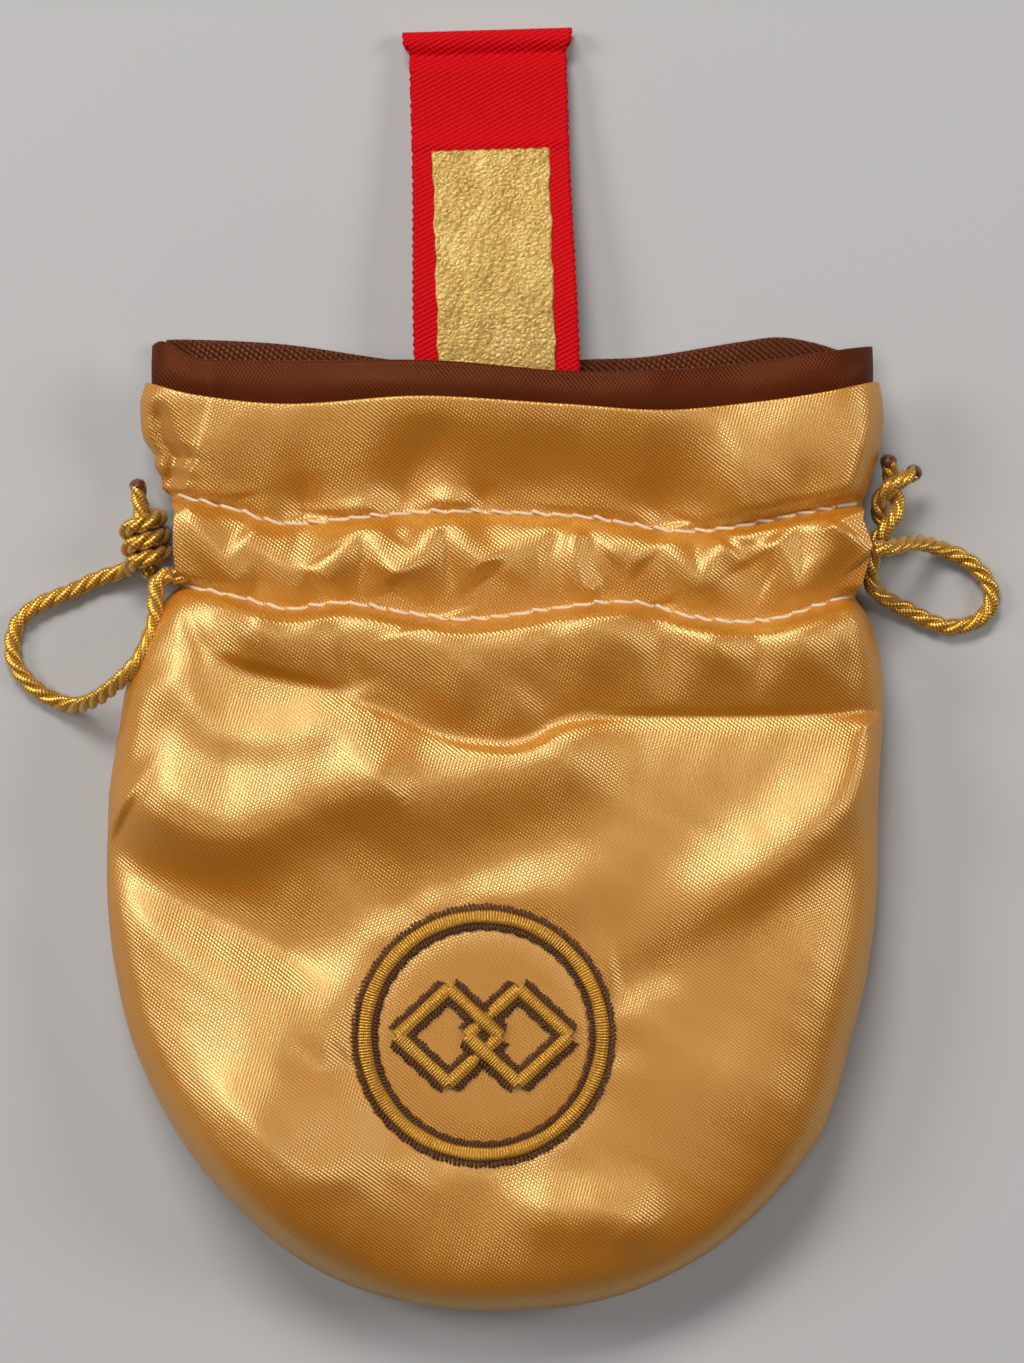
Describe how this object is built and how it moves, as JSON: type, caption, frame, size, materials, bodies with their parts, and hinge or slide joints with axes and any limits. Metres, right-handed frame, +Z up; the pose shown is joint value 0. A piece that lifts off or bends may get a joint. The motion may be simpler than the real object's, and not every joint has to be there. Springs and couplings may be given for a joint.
{
  "type": "amulet pouch",
  "caption": "Satin drawstring pouch lying face up, with an embroidered ring, pull loops at both sides and a ribbon amulet that slides out of the mouth.",
  "frame": {"origin": "middle of the part's footprint, on the flat back face that lies on the table", "axes": "+X to the right of the front, +Y towards the mouth, +Z up out of the front"},
  "size_m": [0.1285, 0.1651, 0.0185],
  "materials": {
    "gold_satin": "lustrous satin with a fine twill",
    "brown_lining": "brown twill lining",
    "cream_thread": "matt sewing thread",
    "gold_thread": "glossy embroidery thread in satin stitch",
    "brown_thread": "embroidery thread",
    "gold_cord": "glossy twisted cord",
    "red_ribbon": "twill ribbon",
    "gold_foil": "crinkled metal leaf",
    "card": "plain card"
  },
  "bodies": {
    "pouch": {"front_panel": "gold_satin", "back_panel": "gold_satin", "front_lining": "brown_lining", "back_lining": "brown_lining", "side_seam_thread": "cream_thread", "front_lower_stitch": "cream_thread", "front_upper_stitch": "cream_thread", "back_lower_stitch": "cream_thread", "back_upper_stitch": "cream_thread", "ring_edge": "brown_thread", "ring_gold": "gold_thread", "motif_edge": "brown_thread", "motif_gold": "gold_thread"},
    "left_drawcord": {"left_cord_run": "gold_cord", "left_cord_loop": "gold_cord", "left_knot_loop_end": "gold_cord", "left_knot_back_end": "gold_cord"},
    "right_drawcord": {"right_cord_run": "gold_cord", "right_cord_loop": "gold_cord", "right_knot_loop_end": "gold_cord", "right_knot_back_end": "gold_cord"},
    "amulet": {"amulet_ribbon": "red_ribbon", "foil_panel": "gold_foil", "amulet_card": "card", "ribbon_tack_stitch": "cream_thread"}
  },
  "joints": [
    {"name": "left_draw", "type": "slide", "parent": "pouch", "child": "left_drawcord", "axis": [-1, 0, 0], "range_m": [0, 0.015], "deforming": ["front_lining", "back_lining"]},
    {"name": "right_draw", "type": "slide", "parent": "pouch", "child": "right_drawcord", "axis": [1, 0, 0], "range_m": [0, 0.015], "deforming": ["front_lining", "back_lining"]},
    {"name": "amulet_lift", "type": "slide", "parent": "pouch", "child": "amulet", "axis": [0, 1, 0], "range_m": [0, 0.112]}
  ]
}
